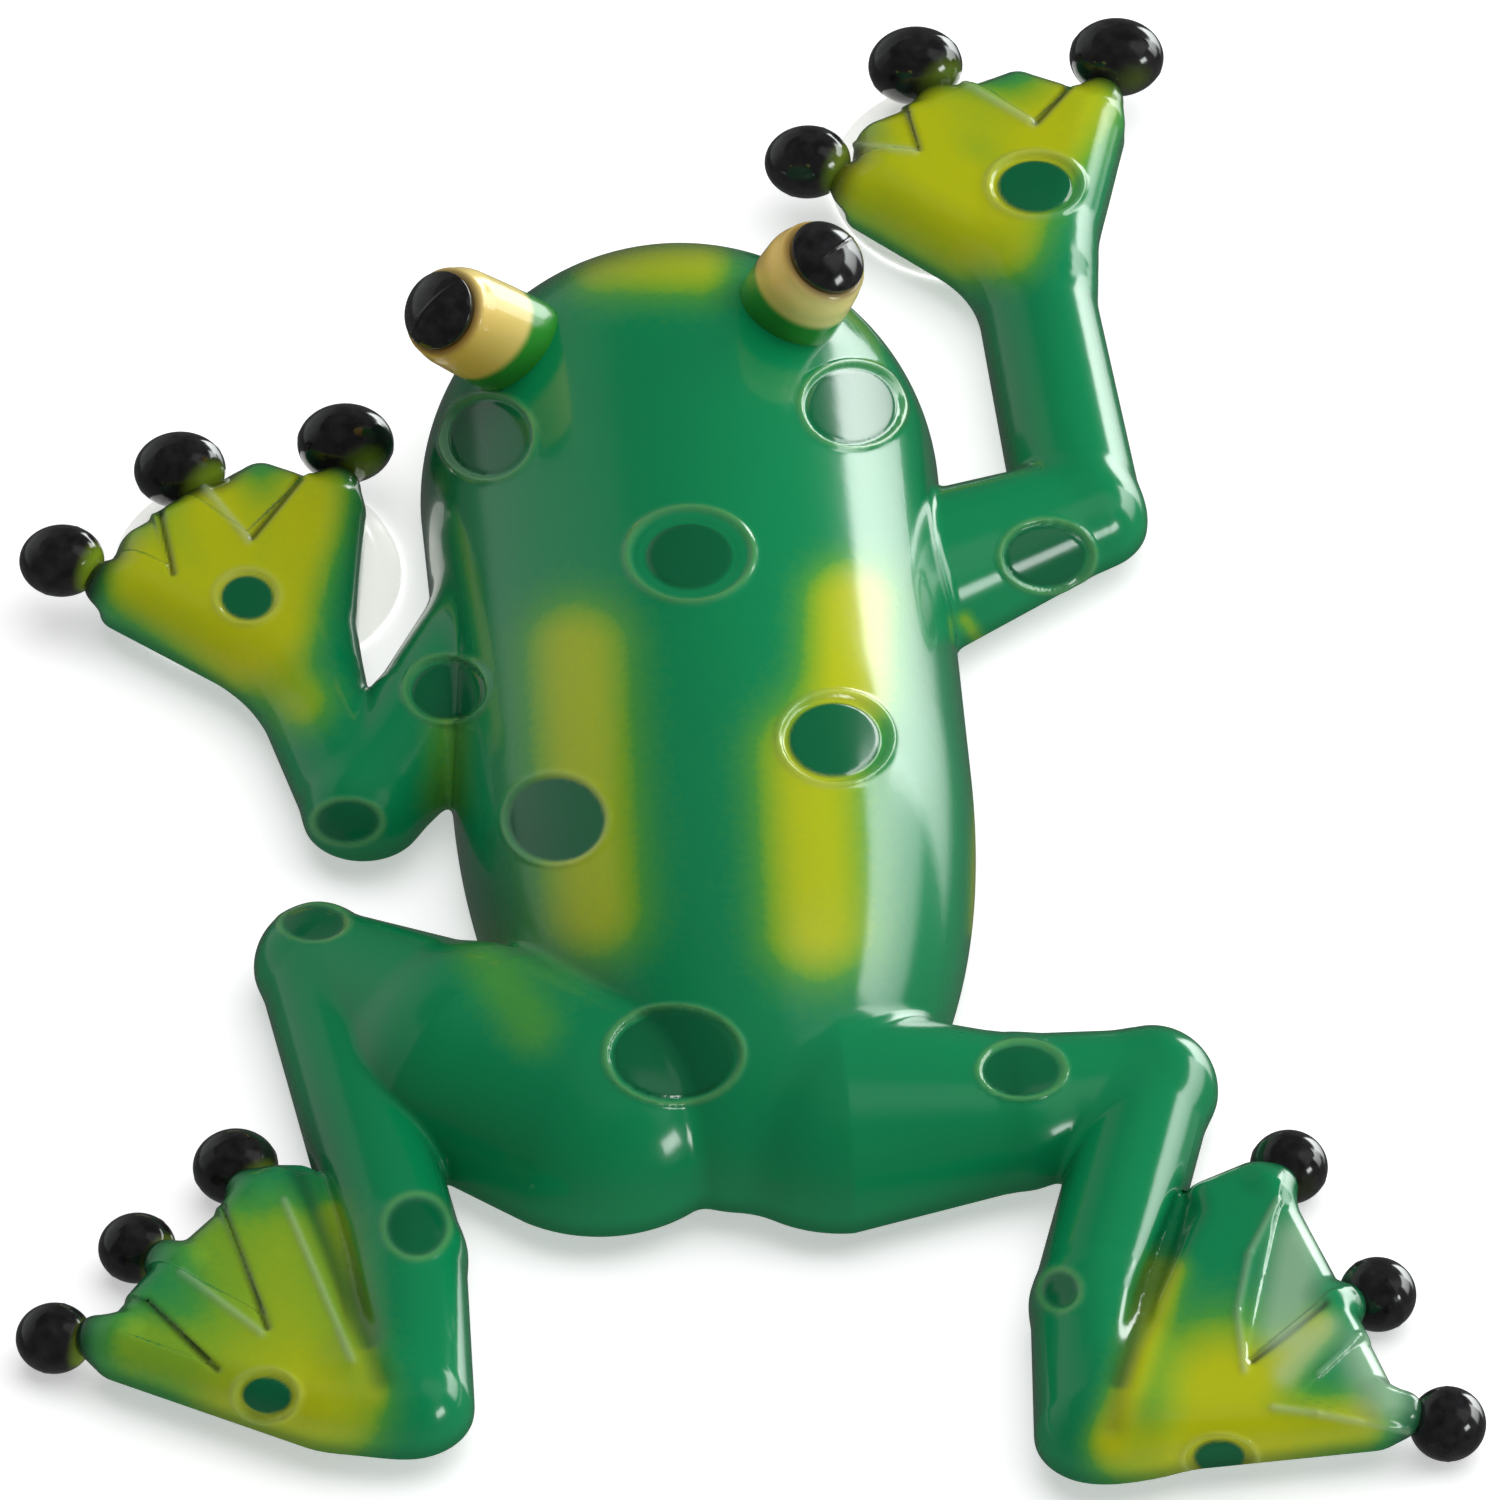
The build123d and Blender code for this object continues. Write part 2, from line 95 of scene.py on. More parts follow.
# Hands and feet. Each web is a sunk facet: its apex, then its two corners at the outer edge.
FANS = {
    "left_hand": {
        "root": (-61.8, 15.7, 7.4),
        "top": (14.6, 13.8),
        "corners": (3.6, 5.6, 4.6),
        "outline": [(-83.0, 37.5, 4.4), (-67.4, 49.8, 4.6)],
        "webs": [
            ((-79.8, 28.9), (-87.8, 35.2), (-82.5, 42.0)),
            ((-69.4, 35.2), (-77.0, 44.0), (-61.8, 46.9)),
        ],
        "soft": 4.5,
    },
    "right_hand": {
        "root": (39.2, 94.7, 8.2),
        "top": (14.8, 14.0),
        "corners": (3.6, 5.6, 4.6),
        "outline": [(19.0, 117.5, 4.4), (37.5, 127.0, 4.6)],
        "webs": [
            ((23.7, 110.3), (13.7, 112.7), (21.7, 121.1)),
            ((39.6, 116.6), (30.4, 126.3), (46.1, 125.9)),
        ],
        "soft": 4.5,
    },
    "left_foot": {
        "root": (-57.3, -125.5, 7.6),
        "top": (13.6, 11.4),
        "corners": (4.6, 5.0, 4.6),
        "outline": [(-64.6, -86.0, 4.2), (-61.8, -86.2, 4.4)],
        "webs": [
            ((-66.0, -114.8), (-78.9, -104.2), (-72.2, -92.7)),
            ((-72.6, -123.8), (-88.2, -115.4), (-83.1, -110.1)),
        ],
        "soft": 0.8,
    },
    "right_foot": {
        "root": (57.0, -129.3, 7.8),
        "top": (13.8, 11.6),
        "corners": (4.6, 5.0, 4.6),
        "outline": [(69.3, -85.4, 4.0), (63.6, -89.4, 4.6)],
        "webs": [
            ((67.5, -124.5), (72.5, -91.5), (79.6, -109.7)),
            ((74.8, -130.3), (85.0, -115.5), (90.1, -134.6)),
        ],
        "soft": 0.8,
    },
}
# Rounding of each fan's upper edge
EDGE_ROUNDS = {"left_hand": 6.4, "right_hand": 6.4, "left_foot": 4.6, "right_foot": 4.6}
HEEL_Y = -124.0  # below this the feet run softly into the shins
HEEL_SOFT = 6.0
WEB_DEPTH = 0.9
TOE_ROOT_R = 3.6
TOE_R = 3.3

# What follows is laid out on the sight plane: (u, v) with u = x and v square to both x and the line of sight.
SIGHT = math.radians(45.0)  # elevation of the line of sight

# Embossed ring spots: u, v, half-width and half-height of the ring, and the painted disc's share of it
SPOTS = {
    "flank_left": (-36.0, 48.3, 7.2, 6.6, 0.78),
    "head_right": (14.5, 52.7, 7.9, 6.5, 0.8),
    "back_centre": (-8.0, 32.0, 9.4, 7.0, 0.64),
    "back_right": (12.0, 6.7, 8.6, 6.9, 0.74),
    "back_left": (-26.4, -4.4, 7.9, 6.8, 0.85),
    "rump": (-10.1, -36.6, 10.1, 7.2, 0.82),
    "shoulder_left": (-41.5, 13.4, 6.5, 5.2, 0.75),
    "elbow_left": (-55.1, -4.8, 5.5, 3.6, 0.8),
    "palm_left": (-69.1, 26.3, 5.1, 4.3, 0.72),
    "palm_right": (39.9, 83.6, 7.3, 5.1, 0.72),
    "elbow_right": (41.3, 31.9, 7.2, 5.5, 0.78),
    "knee_left": (-59.6, -18.6, 5.5, 3.0, 0.8),
    "shank_left": (-45.3, -60.0, 5.2, 5.0, 0.8),
    "foot_left": (-65.7, -83.0, 5.2, 4.1, 0.66),
    "thigh_right": (37.5, -38.7, 6.6, 4.4, 0.8),
    "shank_right": (42.6, -68.7, 3.5, 3.5, 0.7),
    "foot_right": (64.4, -91.5, 5.8, 3.7, 0.6),
}
RING_HEIGHT = 0.42
RING_WIDTH = 0.5
RING_INSET = 0.7  # from the ring's outer edge to its crest
MOAT_DEPTH = 0.32
MOAT_WIDTH = 0.45
DISC_SINK = 0.2

# Yellow-green airbrush strokes: start, end, half-width, softness and strength
STROKES = {
    "stripe_left": ((-23.6, 18.5), (-21.6, -16.5), 2.6, 8.4, 0.8),
    "stripe_right_upper": ((14.2, 25.0), (13.9, 14.0), 3.4, 5.2, 0.95),
    "stripe_right_lower": ((8.6, 4.0), (9.8, -19.0), 3.2, 7.6, 0.9),
    "nose": ((-20.5, 73.0), (-7.0, 72.6), 1.0, 7.0, 0.8),
    "arm_pit": ((-40.8, 13.4), (-41.7, -1.8), 1.1, 3.6, 0.35),
    "hip_left": ((-36.3, -22.5), (-29.6, -32.6), 1.0, 5.6, 0.28),
    "flank": ((32.6, 12.0), (31.5, -19.7), 0.6, 1.1, 0.9),
    "arm_root": ((30.0, 23.1), (32.6, 19.2), 0.5, 1.3, 0.45),
    "left_hand_1": ((-83.9, 31.3), (-68.7, 24.4), 2.2, 4.1, 0.85),
    "left_hand_2": ((-73.6, 38.9), (-68.7, 23.0), 3.3, 5.0, 0.95),
    "left_hand_3": ((-60.7, 40.3), (-65.3, 23.0), 3.3, 4.1, 0.9),
    "left_hand_4": ((-84.0, 27.5), (-70.0, 18.0), 2.2, 4.2, 0.85),
    "left_hand_5": ((-80.0, 35.0), (-62.0, 36.5), 2.5, 4.0, 0.6),
    "left_wrist": ((-68.0, 20.3), (-61.8, 12.0), 1.7, 5.0, 0.6),
    "right_hand_1": ((14.1, 87.9), (29.3, 82.4), 2.5, 3.3, 0.85),
    "right_hand_2": ((21.7, 94.1), (29.3, 82.4), 3.6, 4.1, 0.95),
    "right_hand_3": ((45.5, 95.5), (36.2, 82.4), 4.1, 4.1, 0.9),
    "right_hand_4": ((14.5, 83.5), (29.5, 75.0), 2.2, 4.2, 0.85),
    "right_hand_5": ((28.0, 94.0), (40.0, 91.0), 2.6, 4.2, 0.8),
    "right_wrist": ((29.9, 80.3), (35.5, 75.5), 2.5, 4.7, 0.75),
    "left_shin": ((-57.0, -58.4), (-51.1, -82.5), 0.7, 2.5, 0.5),
    "left_foot_1": ((-61.8, -62.5), (-57.7, -81.2), 3.0, 7.6, 0.55),
    "left_foot_2": ((-72.6, -62.5), (-63.2, -80.5), 3.0, 6.6, 0.45),
    "left_foot_3": ((-82.6, -76.4), (-61.8, -82.5), 3.2, 6.2, 0.5),
    "left_heel": ((-70.0, -85.4), (-55.7, -86.6), 2.6, 6.0, 0.6),
    "right_shin": ((57.2, -66.0), (49.6, -89.0), 0.5, 3.6, 0.95),
    "right_foot_1": ((64.8, -82.0), (66.0, -90.1), 4.6, 8.4, 1.0),
    "right_foot_2": ((70.0, -80.5), (77.6, -73.6), 1.1, 2.8, 0.8),
    "right_foot_3": ((62.4, -90.1), (83.1, -86.7), 2.2, 3.6, 0.85),
    "right_heel": ((51.8, -90.5), (60.6, -91.5), 1.6, 5.6, 0.75),
}

# Painted reflections: pale patches in the right foot's webs, as strokes
WEB_REFLECTIONS = {
    "web_1": ((75.5, -62.5), (73.2, -73.5), 2.2, 2.6, 0.5),
    "web_2": ((84.5, -77.5), (86.8, -83.0), 2.2, 2.6, 0.5),
    "toe_2": ((79.5, -73.5), (73.5, -80.0), 0.8, 1.8, 0.35),
}

# Fine creases (start, end), sunk and drawn with a black line of painted shade, and raised lines drawn with a
# pale line of painted highlight
CREASES = [
    ((-81.7, 39.9), (-79.4, 29.7)),
    ((-61.8, 42.8), (-68.6, 34.5)),
    ((21.4, 96.0), (23.6, 88.7)),
    ((46.2, 99.1), (39.9, 92.3)),
    ((-71.8, -57.4), (-65.7, -73.6)),
    ((-82.2, -70.1), (-72.5, -79.4)),
    ((78.9, -70.4), (68.9, -78.1)),
]
RIDGES = [
    ((-75.2, 41.5), (-69.0, 34.1)),
    ((13.1, 89.5), (23.2, 88.3)),
    ((28.6, 98.7), (39.7, 92.2)),
    ((-77.4, -66.3), (-66.4, -74.5)),
    ((72.5, -56.6), (68.6, -63.9)),
    ((68.6, -63.9), (66.9, -71.8)),
    ((66.9, -71.8), (67.8, -79.5)),
    ((83.5, -74.9), (78.0, -80.1)),
    ((-63.4, -56.6), (-54.0, -78.0)),
    ((71.6, -84.6), (77.6, -85.4)),
    ((77.6, -85.4), (90.0, -87.8)),
]
# Grooves where a foot meets its shin: start, end and depth
GROOVES = [
    ((-61.4, -52.2), (-56.3, -63.9), 1.0),
    ((-56.3, -63.9), (-51.9, -75.0), 1.0),
    ((-51.9, -75.0), (-50.4, -80.5), 0.6),
    ((60.4, -57.4), (54.1, -69.4), 1.0),
    ((54.1, -69.4), (50.4, -80.5), 1.0),
    ((50.4, -80.5), (49.7, -87.0), 0.5),
]
GROOVE_WIDTH = 1.9
GROOVE_SHADE = 0.75  # painted shade: deep green in a groove of 1 mm
CREASE_DEPTH = 0.55
RIDGE_HEIGHT = 0.38
LINE_WIDTH = 0.5
GRID = 0.8


def centre_of(node):
    low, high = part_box(node)
    return np.array((low + high) / 2) / MM


def radius_of(node):
    low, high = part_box(node)
    return (high.x - low.x) / 2 / MM


BALLS = {name: [centre_of(f"{name}_ball_{i}") for i in (1, 2, 3)] for name in FANS}
BALL_RS = {name: [radius_of(f"{name}_ball_{i}") for i in (1, 2, 3)] for name in FANS}


def smooth_min(a, b, soft):
    mix = np.maximum(soft - np.abs(a - b), 0) / soft
    return np.minimum(a, b) - mix * mix * soft * 0.25


def step(low, high, x):
    t = np.clip((x - low) / (high - low), 0, 1)
    return t * t * (3 - 2 * t)


def capsule(p, a, ra, b, rb):
    ab = b - a
    t = np.clip((p - a) @ ab / (ab @ ab), 0, 1)
    return np.linalg.norm(p - a - t[:, None] * ab, axis=1) - (ra + t * (rb - ra))


BODY_AXIS = BODY_NOSE - BODY_TAIL
BODY_LENGTH = np.linalg.norm(BODY_AXIS)
BODY_ALONG = BODY_AXIS / BODY_LENGTH
BODY_SIDE = np.array([BODY_ALONG[1], -BODY_ALONG[0], 0.0])


def body_coordinates(p):
    """Distance along the body from its tail, and distance from its axis."""
    d = p - BODY_TAIL
    return d @ BODY_ALONG, np.hypot(d @ BODY_SIDE, d[:, 2])


def body_field(p):
    """Torso: an ellipsoid's end at the tail, a cone's length, and a ball's end at the nose."""
    along, off = body_coordinates(p)
    nose = BODY_LENGTH - NOSE_R
    share = np.clip((along - TAIL_CAP) / (nose - TAIL_CAP), 0, 1)
    middle = off - (TAIL_R + (NOSE_R - TAIL_R) * share)
    back = (along - TAIL_CAP) / TAIL_CAP
    k = np.sqrt(back**2 + (off / TAIL_R) ** 2)
    slope = np.sqrt((back / TAIL_CAP) ** 2 + (off / TAIL_R**2) ** 2)
    tail = k * (k - 1) / np.maximum(slope, 1e-6)
    head = np.hypot(along - nose, off) - NOSE_R
    return np.where(along < TAIL_CAP, tail, np.where(along > nose, head, middle))


def convex_outline(circles):
    """Corner points of the hull of circles (x, y, radius), anticlockwise."""
    turn = np.linspace(0, 2 * math.pi, 32, endpoint=False)
    points = sorted((x + r * math.cos(t), y + r * math.sin(t)) for x, y, r in circles for t in turn)
    chains = []
    for run in (points, points[::-1]):
        chain = []
        for q in run:
            while len(chain) > 1:
                (ax, ay), (bx, by) = chain[-2:]
                if (bx - ax) * (q[1] - ay) - (by - ay) * (q[0] - ax) > 0:
                    break
                chain.pop()
            chain.append(q)
        chains += chain[:-1]
    return np.array(chains)


def outline_distance(p, outline):
    """Signed distance in plan to a convex outline."""
    inside = np.full(len(p), -1e9)
    outside = np.full(len(p), 1e9)
    for a, b in zip(outline, np.roll(outline, -1, axis=0)):
        ab = b - a
        length = np.linalg.norm(ab)
        rel = p[:, :2] - a
        normal = np.array([ab[1], -ab[0]]) / length
        inside = np.maximum(inside, rel @ normal)
        t = np.clip(rel @ ab / length**2, 0, 1)
        outside = np.minimum(outside, np.hypot(*(rel - t[:, None] * ab).T))
    return np.where(inside < 0, inside, outside)


for name, fan in FANS.items():
    root = np.array(fan["root"][:2])
    circles = [fan["root"], *fan["outline"]]
    fan["edge"] = EDGE_ROUNDS[name]
    fan["toes"] = []
    for ball, ball_r, corner_r in zip(BALLS[name], BALL_RS[name], fan["corners"]):
        back = root - ball[:2]
        back /= np.linalg.norm(back)
        corner = ball[:2] + (ball_r + 0.5 + corner_r) * back
        circles.append((*corner, corner_r))
        start = np.array([*corner, RIM_Z + TOE_ROOT_R + 0.2])
        way = (ball - start) / np.linalg.norm(ball - start)
        fan["toes"].append((start + way * (corner_r - TOE_ROOT_R), ball - way * (ball_r - 0.6 + TOE_R * 0.6)))
    fan["hull"] = convex_outline(circles)
    fan["reach"] = float(np.mean([np.linalg.norm(b[:2] - root) for b in BALLS[name]]))


def web_share(p, web):
    """0 outside a web, and growing from its apex to the outer edge within it."""
    apex, left, right = (np.array(q) for q in web)
    rel = p[:, :2] - apex
    turn = np.sign(np.cross(left - apex, right - apex))
    inside = np.full(len(p), 1e9)
    for side, sign in ((left - apex, turn), (right - apex, -turn)):
        inside = np.minimum(inside, sign * (side[0] * rel[:, 1] - side[1] * rel[:, 0]) / np.linalg.norm(side))
    middle = (left + right) / 2 - apex
    along = rel @ middle / (middle @ middle)
    return step(-0.1, 0.5, inside) * np.clip(0.3 + 0.7 * along, 0, 1.2) * (along > 0)


def fan_field(p, fan):
    root = np.array(fan["root"][:2])
    plan = outline_distance(p, fan["hull"])
    reach = np.clip(np.linalg.norm(p[:, :2] - root, axis=1) / fan["reach"], 0, 1)
    top = fan["top"][0] + (fan["top"][1] - fan["top"][0]) * reach
    for web in fan["webs"]:
        top = top - WEB_DEPTH * web_share(p, web)
    rise = p[:, 2] - top
    edge = fan["edge"]
    out_plan, out_rise = plan + edge, rise + edge
    corner = np.hypot(np.maximum(out_plan, 0), np.maximum(out_rise, 0))
    field = corner + np.minimum(np.maximum(out_plan, out_rise), 0) - edge
    for start, end in fan["toes"]:
        field = smooth_min(field, capsule(p, start, TOE_ROOT_R, end, TOE_R), 1.6)
    return field


def near(p, low, high, margin=7.0):
    """Which points lie within a margin of a box given in plan."""
    return np.all((p[:, :2] > np.array(low) - margin) & (p[:, :2] < np.array(high) + margin), axis=1)


def shell_field(p):
    """Signed distance to the shell's outer skin."""
    pieces = []
    for chain, soft in LIMBS:
        value = np.full(len(p), 1e3)
        for (x1, y1, r1), (x2, y2, r2) in zip(chain, chain[1:]):
            a, b = np.array([x1, y1, AXIS_Z]), np.array([x2, y2, AXIS_Z])
            widest = max(r1, r2)
            some = near(p, np.minimum(a, b)[:2] - widest, np.maximum(a, b)[:2] + widest)
            value[some] = smooth_min(value[some], capsule(p[some], a, r1, b, r2), 1.0)
        pieces.append((value, soft))
    for fan in FANS.values():
        low, high = fan["hull"].min(0), fan["hull"].max(0)
        some = near(p, low, high)
        value = np.full(len(p), 1e3)
        value[some] = fan_field(p[some], fan)
        pieces.append((value, fan["soft"]))
    field = body_field(p)
    heel = HEEL_SOFT * step(HEEL_Y + 12.0, HEEL_Y, p[:, 1])
    for value, soft in pieces:
        field = smooth_min(field, value, soft + heel)
    return field


def surface_nets(values, origin, pitch):
    """Quads on the zero surface of a grid of values."""
    inside = values < 0
    shape = np.array(values.shape) - 1
    corners = [np.array([i, j, k]) for i in (0, 1) for j in (0, 1) for k in (0, 1)]
    total = sum(inside[tuple(slice(c[k], c[k] + shape[k]) for k in range(3))].astype(int) for c in corners)
    mixed = (total > 0) & (total < 8)
    cells = np.argwhere(mixed)
    index = np.full(mixed.shape, -1)
    index[mixed] = np.arange(len(cells))
    place, count = np.zeros((len(cells), 3)), np.zeros(len(cells))
    for axis in range(3):
        unit = np.eye(3, dtype=int)[axis]
        for corner in corners:
            if corner[axis]:
                continue
            a, b = (values[tuple((cells + c).T)] for c in (corner, corner + unit))
            cross = (a < 0) != (b < 0)
            t = a[cross] / (a[cross] - b[cross])
            place[cross] += corner + unit * t[:, None]
            count[cross] += 1
    points = origin + (cells + place / count[:, None]) * pitch
    quads = []
    for axis in range(3):
        u, w = np.eye(3, dtype=int)[(axis + 1) % 3], np.eye(3, dtype=int)[(axis + 2) % 3]
        unit = np.eye(3, dtype=int)[axis]
        a = inside[tuple(slice(0, -1) if k == axis else slice(1, -1) for k in range(3))]
        b = inside[tuple(slice(1, None) if k == axis else slice(1, -1) for k in range(3))]
        for found, order in ((a & ~b, 1), (~a & b, -1)):
            at = np.argwhere(found) + 1 - unit
            ring = [index[tuple(q.T)] for q in (at, at - u, at - u - w, at - w)]
            quads.append(np.stack(ring, 1)[:, ::order])
    return points, np.concatenate(quads)


def gradient(p, field_of, size=0.04):
    base = field_of(p)
    slopes = [(field_of(p + size * unit) - base) / size for unit in np.eye(3)]
    return base, np.stack(slopes, 1)


def project(p, field_of, rounds=2, flat=None):
    """Moves points on to the zero surface; those marked flat keep their height."""
    for _ in range(rounds):
        value, slope = gradient(p, field_of)
        if flat is not None:
            slope[flat, 2] = 0
        size = np.maximum((slope**2).sum(1), 0.05)
        p = p - np.clip(value / size, -1.5, 1.5)[:, None] * slope
    return p


def link(name, mesh, material, body, *nodes):
    """Makes an object of a mesh, riding on a body and standing for CAD nodes."""
    obj = bpy.data.objects.new(name, mesh)
    bpy.context.scene.collection.objects.link(obj)
    mesh.materials.append(material)
    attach(obj, body)
    if nodes:
        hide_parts(*nodes)
    return obj


def mesh_of(name, points, faces, smooth=True):
    mesh = bpy.data.meshes.new(name)
    corners = [tuple(q) for q in np.asarray(points) * MM]
    mesh.from_pydata(corners, [], [tuple(int(i) for i in f) for f in faces])
    mesh.validate()
    mesh.update()
    if smooth:
        mesh.polygons.foreach_set("use_smooth", [True] * len(mesh.polygons))
    return mesh


def add_mask(mesh, name, values):
    mask = mesh.attributes.new(name, "FLOAT", "POINT")
    mask.data.foreach_set("value", np.asarray(values, np.float32))


# ---------------------------------------------------------------- materials


def new_material(name):
    material = bpy.data.materials.new(name)
    material.use_nodes = True
    nodes, links = material.node_tree.nodes, material.node_tree.links
    return material, nodes, links, nodes["Principled BSDF"]


def mask_node(nodes, name):
    node = nodes.new("ShaderNodeAttribute")
    node.attribute_name = name
    return node.outputs["Fac"]


def noise_node(nodes, links, scale, detail=3.0):
    place = nodes.new("ShaderNodeTexCoord")
    node = nodes.new("ShaderNodeTexNoise")
    node.inputs["Scale"].default_value = scale
    node.inputs["Detail"].default_value = detail
    links.new(place.outputs["Object"], node.inputs["Vector"])
    return node.outputs["Fac"]


def mix_colour(nodes, links, share, first, second):
    node = nodes.new("ShaderNodeMix")
    node.data_type = "RGBA"
    for name, value in (("Factor", share), ("A", first), ("B", second)):
        socket = node.inputs[name]
        if isinstance(value, tuple):
            socket.default_value = (*value, 1.0)
        elif isinstance(value, float):
            socket.default_value = value
        else:
            links.new(value, socket)
    return node.outputs["Result"]


def remap(nodes, links, value, low, high, to_low=0.0, to_high=1.0):
    node = nodes.new("ShaderNodeMapRange")
    links.new(value, node.inputs["Value"])
    for key, number in (("From Min", low), ("From Max", high), ("To Min", to_low), ("To Max", to_high)):
        node.inputs[key].default_value = number
    return node.outputs["Result"]


def mottle(nodes, links, scale, span, first, second):
    """Two colours mixed by fine noise."""
    share = remap(nodes, links, noise_node(nodes, links, scale), *span)
    return mix_colour(nodes, links, share, first, second)


def bump(nodes, links, shader, height, strength, distance):
    node = nodes.new("ShaderNodeBump")
    node.inputs["Strength"].default_value = strength
    node.inputs["Distance"].default_value = distance
    links.new(height, node.inputs["Height"])
    links.new(node.outputs["Normal"], shader.inputs["Normal"])


# Paint colours, linear RGB
GREEN = (0.002, 0.25, 0.085)
CLOUD_GREEN = (0.005, 0.2, 0.078)
# Painted shade on edges, towards the rear rim and in grooves
SHADE_GREEN = (0.001, 0.085, 0.028)
DISC_GREEN = (0.001, 0.125, 0.045)
YELLOW = (0.50, 0.54, 0.004)
LEAF = (0.10, 0.36, 0.03)
# Black for the overspray round the toe balls and for painted shade along the creases
OVERSPRAY_AND_SHADE_BLACK = (0.004, 0.006, 0.004)
# Pale mint for painted highlights and reflections
HIGHLIGHT_GREEN = (0.50, 0.68, 0.48)
# Black overspray round each limb's toe balls
SOOT = {"left_hand": 0.95, "right_hand": 0.8, "left_foot": 0.95, "right_foot": 0.6}


def painted_plastic():
    material, nodes, links, shader = new_material("airbrushed_green")
    green = mottle(nodes, links, 38.0, (0.3, 0.7, 0.0, 0.35), GREEN, CLOUD_GREEN)
    spray = noise_node(nodes, links, 900.0, 2.0)
    grainy = remap(nodes, links, spray, 0.3, 0.7)
    yellow = mask_node(nodes, "yellow")
    edge = nodes.new("ShaderNodeMath")
    edge.operation = "MULTIPLY_ADD"
    links.new(grainy, edge.inputs[0])
    edge.inputs[1].default_value = 0.05
    links.new(yellow, edge.inputs[2])
    leafy = mix_colour(nodes, links, remap(nodes, links, edge.outputs[0], 0.05, 0.5), green, LEAF)
    sunny = mix_colour(nodes, links, remap(nodes, links, edge.outputs[0], 0.35, 1.0), leafy, YELLOW)
    spot = mix_colour(nodes, links, mask_node(nodes, "disc"), sunny, DISC_GREEN)
    # Painted shade from the dark mask
    shaded = mix_colour(nodes, links, mask_node(nodes, "dark"), spot, SHADE_GREEN)
    # Black overspray round the toe balls, and painted shade along the creases
    sprayed_and_shaded = mix_colour(nodes, links, mask_node(nodes, "overspray_and_shade"), shaded, OVERSPRAY_AND_SHADE_BLACK)
    # Painted highlights and reflections from the pale mask
    highlighted = mix_colour(nodes, links, mask_node(nodes, "pale"), sprayed_and_shaded, HIGHLIGHT_GREEN)
    links.new(highlighted, shader.inputs["Base Color"])
    shader.inputs["Roughness"].default_value = 0.2
    shader.inputs["Specular IOR Level"].default_value = 0.5
    shader.inputs["Coat Weight"].default_value = 0.6
    shader.inputs["Coat Roughness"].default_value = 0.06
    bump(nodes, links, shader, noise_node(nodes, links, 260.0, 2.0), 0.06, 0.0006)
    return material


def gloss_black():
    material, nodes, links, shader = new_material("gloss_black")
    black = mottle(nodes, links, 520.0, (0.35, 0.75), (0.006, 0.005, 0.006), (0.022, 0.02, 0.022))
    sprayed = mix_colour(nodes, links, mask_node(nodes, "yellow"), black, (0.26, 0.40, 0.02))
    links.new(sprayed, shader.inputs["Base Color"])
    shader.inputs["Roughness"].default_value = 0.16
    shader.inputs["Coat Weight"].default_value = 0.8
    shader.inputs["Coat Roughness"].default_value = 0.04
    bump(nodes, links, shader, noise_node(nodes, links, 300.0, 2.0), 0.05, 0.0005)
    return material


def eye_paint():
    material, nodes, links, shader = new_material("eye_paint")
    gold = mottle(nodes, links, 60.0, (0.35, 0.65), (0.95, 0.53, 0.06), (0.97, 0.63, 0.12))
    # Painted highlight: a pale cream side on each barrel
    lit_side = mix_colour(nodes, links, mask_node(nodes, "lit_side"), gold, (1.0, 0.84, 0.32))
    band = mix_colour(nodes, links, mask_node(nodes, "band"), lit_side, (0.03, 0.30, 0.025))
    overspray_and_shade = mix_colour(nodes, links, mask_node(nodes, "overspray_and_shade"), band, (0.09, 0.035, 0.01))
    links.new(overspray_and_shade, shader.inputs["Base Color"])
    shader.inputs["Roughness"].default_value = 0.22
    shader.inputs["Coat Weight"].default_value = 0.5
    shader.inputs["Coat Roughness"].default_value = 0.06
    bump(nodes, links, shader, noise_node(nodes, links, 420.0, 2.0), 0.08, 0.0005)
    return material


def clear_vinyl():
    material, nodes, links, shader = new_material("clear_vinyl")
    tint = mottle(nodes, links, 90.0, (0.3, 0.7), (0.97, 0.97, 0.95), (0.93, 0.93, 0.90))
    links.new(tint, shader.inputs["Base Color"])
    shader.inputs["Roughness"].default_value = 0.18
    shader.inputs["IOR"].default_value = 1.45
    shader.inputs["Transmission Weight"].default_value = 0.12
    # The emission is painted light: a faint glow that lifts the shade under the palms.
    shader.inputs["Emission Color"].default_value = (0.95, 0.96, 0.93, 1.0)
    shader.inputs["Emission Strength"].default_value = 0.3
    bump(nodes, links, shader, noise_node(nodes, links, 160.0, 2.0), 0.08, 0.0008)
    return material


def cover_plastic():
    material, nodes, links, shader = new_material("cover_plastic")
    green = mottle(nodes, links, 45.0, (0.3, 0.7), (0.003, 0.16, 0.06), (0.006, 0.12, 0.05))
    links.new(green, shader.inputs["Base Color"])
    shader.inputs["Roughness"].default_value = 0.34
    bump(nodes, links, shader, noise_node(nodes, links, 1400.0, 2.0), 0.15, 0.0002)
    return material


def screw_steel():
    material, nodes, links, shader = new_material("screw_steel")
    steel = mottle(nodes, links, 1500.0, (0.3, 0.7), (0.56, 0.56, 0.55), (0.42, 0.42, 0.42))
    links.new(steel, shader.inputs["Base Color"])
    shader.inputs["Metallic"].default_value = 1.0
    shader.inputs["Roughness"].default_value = 0.32
    return material


PAINT, BLACK, EYE, VINYL, COVER, STEEL = (
    make() for make in (painted_plastic, gloss_black, eye_paint, clear_vinyl, cover_plastic, screw_steel)
)

# ---------------------------------------------------------------- front shell


